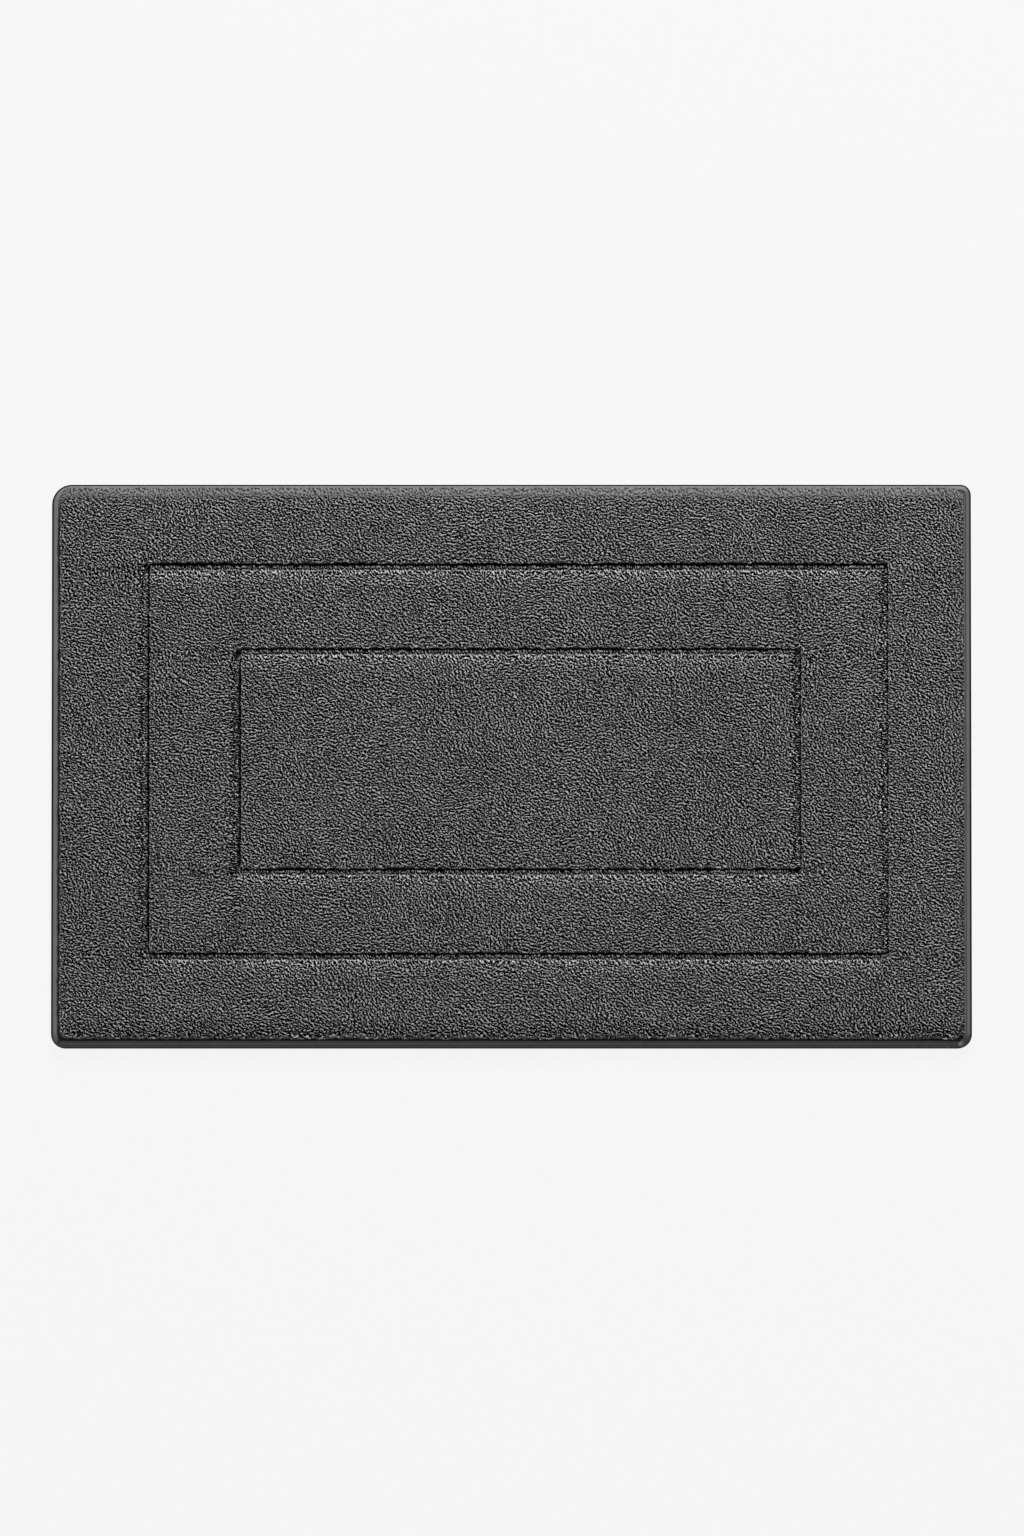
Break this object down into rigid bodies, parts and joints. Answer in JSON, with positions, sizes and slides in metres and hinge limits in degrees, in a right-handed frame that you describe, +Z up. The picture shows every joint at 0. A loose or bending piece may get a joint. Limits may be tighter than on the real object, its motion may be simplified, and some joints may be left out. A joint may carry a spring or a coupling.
{
  "type": "bath mat",
  "caption": "Rectangular tufted bath mat: raised curly pile fields split by sunken concentric channels, a tape-bound edge with rounded corners and a non-slip underside.",
  "frame": {"origin": "on the floor, under the middle of the mat", "axes": "+X along the long side, +Y across the mat to its back edge, +Z up through the pile"},
  "size_m": [0.8, 0.5, 0.02],
  "materials": {
    "pile_yarn": "dense curly charcoal yarn tufts, soft sheen",
    "loop_yarn": "short charcoal yarn loops, matt",
    "edge_tape": "smooth charcoal binding tape, fine twill",
    "seam_thread": "charcoal sewing thread, slight sheen",
    "backing_cloth": "plain woven grey cloth, matt",
    "lock_latex": "thin spread latex, matt",
    "cushion_foam": "open-cell grey foam, matt",
    "grip_rubber": "moulded anti-slip latex, satin",
    "label_cloth": "blank woven label, smooth"
  },
  "bodies": {
    "root": {"outer_pile_frame": "pile_yarn", "middle_pile_frame": "pile_yarn", "centre_pile_panel": "pile_yarn", "outer_channel_loops": "loop_yarn", "inner_channel_loops": "loop_yarn", "primary_backing": "backing_cloth", "tuft_lock_latex": "lock_latex", "foam_core": "cushion_foam", "antislip_backing": "grip_rubber", "edge_binding": "edge_tape", "binding_needle_thread": "seam_thread", "binding_bobbin_thread": "seam_thread", "care_label": "label_cloth"}
  },
  "joints": []
}
